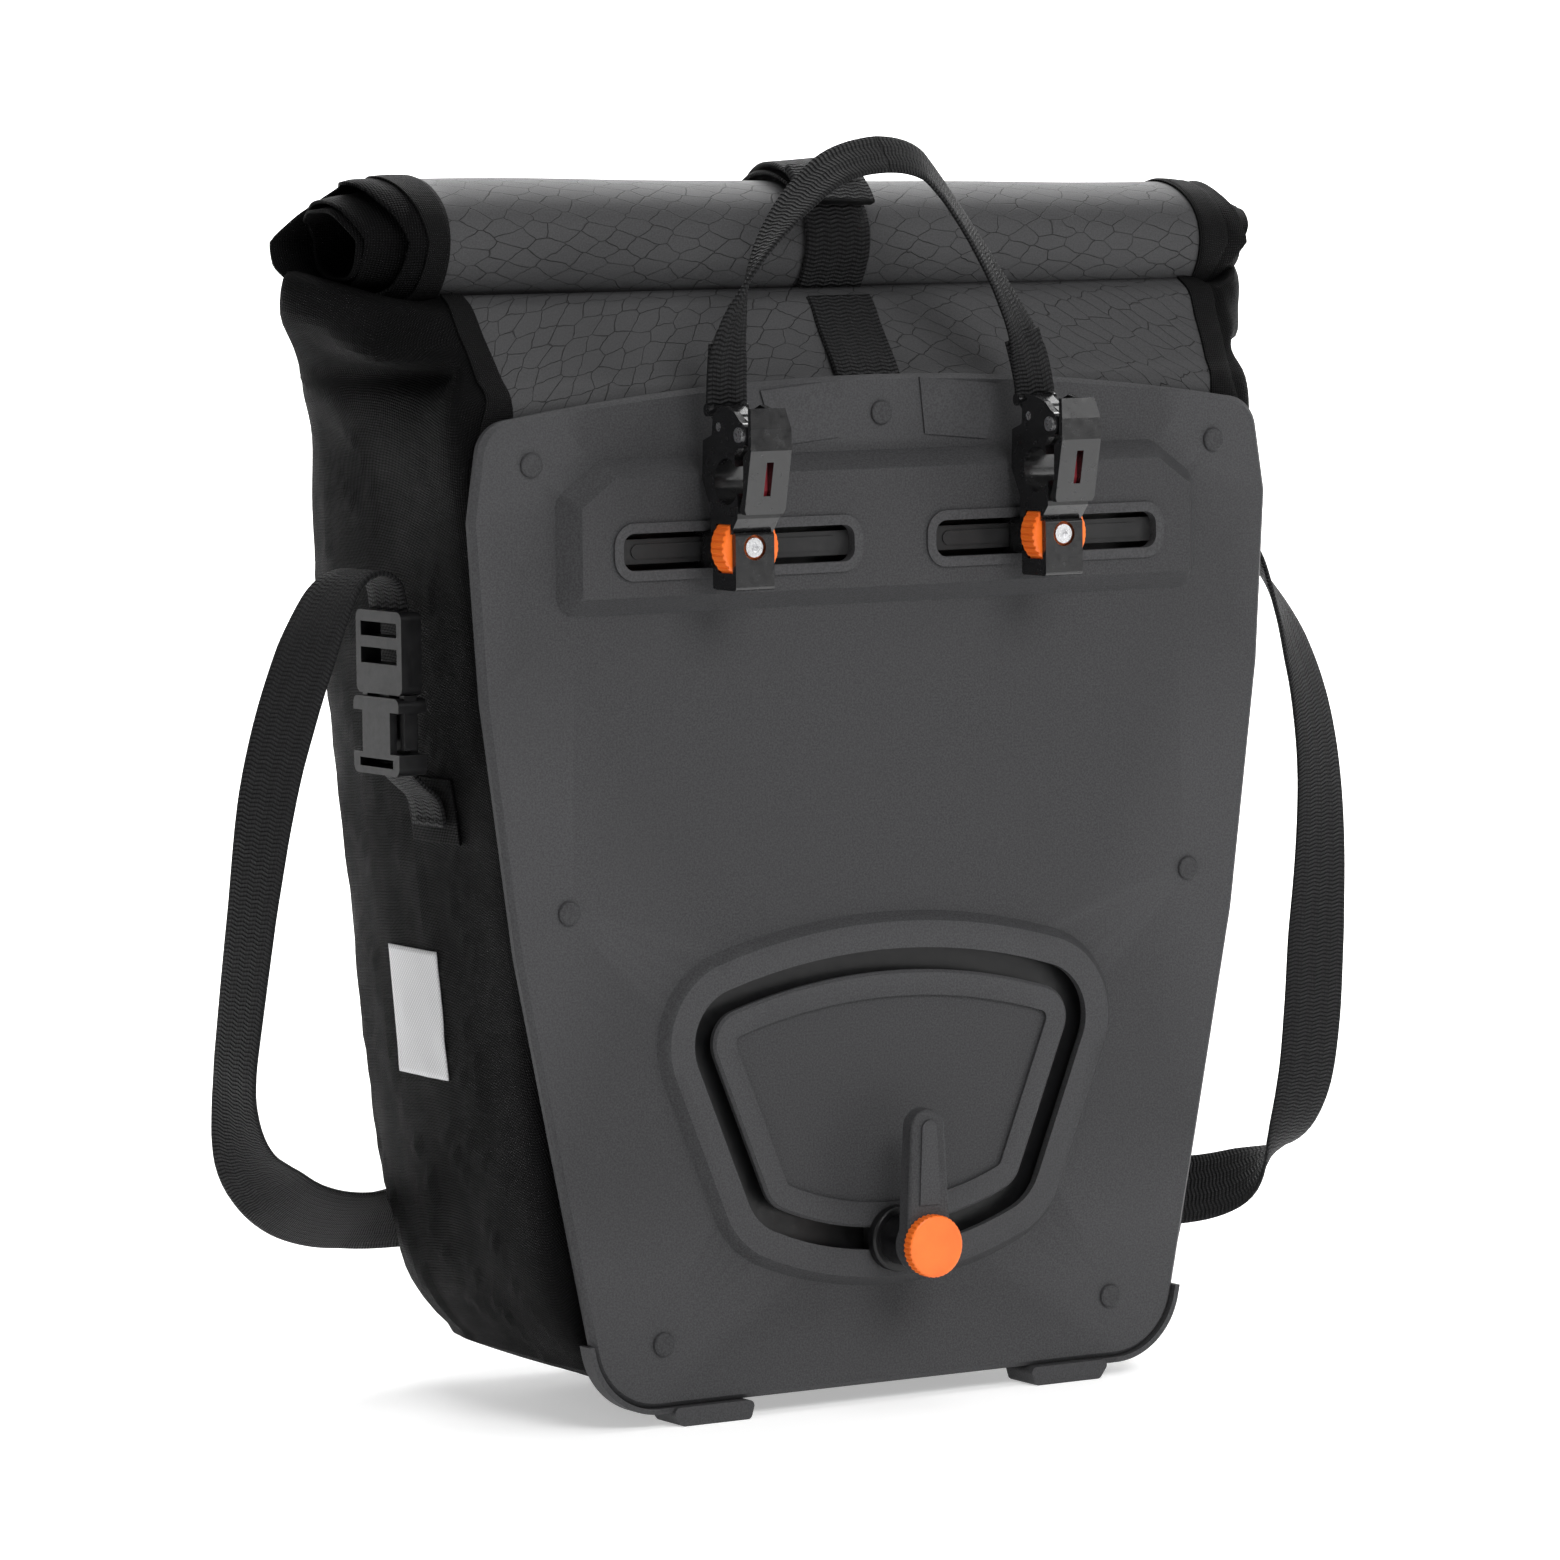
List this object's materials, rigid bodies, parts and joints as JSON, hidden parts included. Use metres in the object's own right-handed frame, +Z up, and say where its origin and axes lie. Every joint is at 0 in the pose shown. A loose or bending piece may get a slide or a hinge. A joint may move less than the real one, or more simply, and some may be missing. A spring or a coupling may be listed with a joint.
{
  "type": "pannier bag",
  "caption": "Roll-top bicycle pannier with a moulded back panel, sliding rail hooks with thumbwheels, a swinging stabiliser arm, a carry handle and a shoulder strap.",
  "frame": {"origin": "middle of the bag's box, strap left out, on the ground under the corner guards", "axes": "+Z up; -Y out of the back panel, towards the bicycle's rack; +X along the rail"},
  "size_m": [0.463, 0.2216, 0.443],
  "materials": {
    "moulded_panel": "fine grained matte moulding",
    "rail_plastic": "smooth matte",
    "black_plastic": "satin moulding",
    "gloss_black": "glossy moulding",
    "orange_plastic": "satin moulding",
    "red_pad": "soft satin",
    "steel": "plain",
    "stiff_sheet": "smooth sheet",
    "black_fabric": "coated plain weave",
    "laminate": "laminated cloth with a fine embossed net",
    "webbing": "ribbed webbing",
    "reflective": "reflective film"
  },
  "bodies": {
    "root": {"back_panel": "moulded_panel", "shield_plate": "moulded_panel", "stabiliser_track": "black_plastic", "hook_rail": "rail_plastic", "panel_rivets": "moulded_panel", "rivet_washers": "black_plastic", "inner_stiffener": "stiff_sheet", "corner_guard_left": "moulded_panel", "corner_guard_right": "moulded_panel", "back_fabric": "black_fabric", "outer_fabric": "black_fabric", "side_fabric_left": "black_fabric", "side_fabric_right": "black_fabric", "base_fabric": "black_fabric", "base_board": "stiff_sheet", "collar_front": "laminate", "collar_rear": "laminate", "gusset_left": "black_fabric", "gusset_right": "black_fabric", "closure_strap_front": "webbing", "closure_strap_outer": "webbing", "closure_buckle_socket": "black_plastic", "carry_handle": "webbing", "buckle_socket_left": "black_plastic", "buckle_socket_right": "black_plastic", "buckle_web_left": "webbing", "buckle_web_right": "webbing", "side_reflector_left": "reflective", "side_reflector_right": "reflective"},
    "hook_left": {"hook_body_left": "gloss_black", "pivot_pins_left": "steel"},
    "jaw_left": {"front_jaw_left": "gloss_black", "jaw_pad_left": "red_pad"},
    "lever_left": {"release_lever_left": "gloss_black"},
    "wheel_left": {"thumbwheel_left": "orange_plastic", "clamp_bolt_left": "steel"},
    "clamp_left": {"rail_clamp_left": "gloss_black"},
    "hook_right": {"hook_body_right": "gloss_black", "pivot_pins_right": "steel"},
    "jaw_right": {"front_jaw_right": "gloss_black", "jaw_pad_right": "red_pad"},
    "lever_right": {"release_lever_right": "gloss_black"},
    "wheel_right": {"thumbwheel_right": "orange_plastic", "clamp_bolt_right": "steel"},
    "clamp_right": {"rail_clamp_right": "gloss_black"},
    "stabiliser": {"stabiliser_foot": "black_plastic"},
    "arm": {"stabiliser_arm": "moulded_panel"},
    "knob": {"stabiliser_knob": "orange_plastic", "knob_bolt": "steel"},
    "nut": {"track_nut": "rail_plastic"},
    "buckle_left": {"buckle_plug_left": "black_plastic", "shoulder_strap_left": "webbing"},
    "buckle_right": {"buckle_plug_right": "black_plastic", "shoulder_strap_right": "webbing"},
    "roll": {"rolled_top": "laminate", "top_slat": "stiff_sheet", "closure_strap_top": "webbing", "closure_buckle_plug": "black_plastic"}
  },
  "joints": [
    {"name": "hook_slide_left", "type": "slide", "parent": "root", "child": "hook_left", "axis": [1, 0, 0], "range_m": [-0.028, 0.036]},
    {"name": "lever_turn_left", "type": "hinge", "parent": "hook_left", "child": "lever_left", "pos_m": [-0.072, -0.0799, 0.351], "axis": [1, 0, 0], "range_deg": [0, 25], "stiffness_Nm_per_rad": 0.02, "springref_deg": -20.05},
    {"name": "jaw_turn_left", "type": "hinge", "parent": "hook_left", "child": "jaw_left", "pos_m": [-0.072, -0.0939, 0.3485], "axis": [1, 0, 0], "range_deg": [-40, 0]},
    {"name": "wheel_turn_left", "type": "hinge", "parent": "hook_left", "child": "wheel_left", "pos_m": [-0.072, -0.0819, 0.3093], "axis": [0, 1, 0], "range_deg": [0, 270]},
    {"name": "clamp_travel_left", "type": "slide", "parent": "hook_left", "child": "clamp_left", "axis": [0, 1, 0], "range_m": [0, 0.0006]},
    {"name": "hook_slide_right", "type": "slide", "parent": "root", "child": "hook_right", "axis": [1, 0, 0], "range_m": [-0.028, 0.036]},
    {"name": "lever_turn_right", "type": "hinge", "parent": "hook_right", "child": "lever_right", "pos_m": [0.056, -0.0799, 0.351], "axis": [1, 0, 0], "range_deg": [0, 25], "stiffness_Nm_per_rad": 0.02, "springref_deg": -20.05},
    {"name": "jaw_turn_right", "type": "hinge", "parent": "hook_right", "child": "jaw_right", "pos_m": [0.056, -0.0939, 0.3485], "axis": [1, 0, 0], "range_deg": [-40, 0]},
    {"name": "wheel_turn_right", "type": "hinge", "parent": "hook_right", "child": "wheel_right", "pos_m": [0.056, -0.0819, 0.3093], "axis": [0, 1, 0], "range_deg": [0, 270]},
    {"name": "clamp_travel_right", "type": "slide", "parent": "hook_right", "child": "clamp_right", "axis": [0, 1, 0], "range_m": [0, 0.0006]},
    {"name": "stabiliser_swing", "type": "hinge", "parent": "root", "child": "stabiliser", "pos_m": [0, -0.0574, 0.1815], "axis": [0, 1, 0], "range_deg": [-20, 20]},
    {"name": "arm_turn", "type": "hinge", "parent": "stabiliser", "child": "arm", "pos_m": [0, -0.0774, 0.0595], "axis": [0, 1, 0], "continuous": true},
    {"name": "knob_turn", "type": "hinge", "parent": "stabiliser", "child": "knob", "pos_m": [0, -0.0774, 0.0595], "axis": [0, 1, 0], "range_deg": [0, 270]},
    {"name": "nut_travel", "type": "slide", "parent": "stabiliser", "child": "nut", "axis": [0, 1, 0], "range_m": [0, 0.0005]},
    {"name": "buckle_release_left", "type": "slide", "parent": "root", "child": "buckle_left", "axis": [0, 0, 1], "range_m": [0, 0.04]},
    {"name": "buckle_release_right", "type": "slide", "parent": "root", "child": "buckle_right", "axis": [0, 0, 1], "range_m": [0, 0.04]},
    {"name": "roll_lift", "type": "slide", "parent": "root", "child": "roll", "axis": [0, 0, 1], "range_m": [0, 0.12]}
  ],
  "couplings": [
    {"joint": "jaw_turn_left", "follows": "lever_turn_left", "ratio": -1.6},
    {"joint": "clamp_travel_left", "follows": "wheel_turn_left", "m_per_rad": 0.000127},
    {"joint": "jaw_turn_right", "follows": "lever_turn_right", "ratio": -1.6},
    {"joint": "clamp_travel_right", "follows": "wheel_turn_right", "m_per_rad": 0.000127},
    {"joint": "nut_travel", "follows": "knob_turn", "m_per_rad": 0.000106}
  ]
}
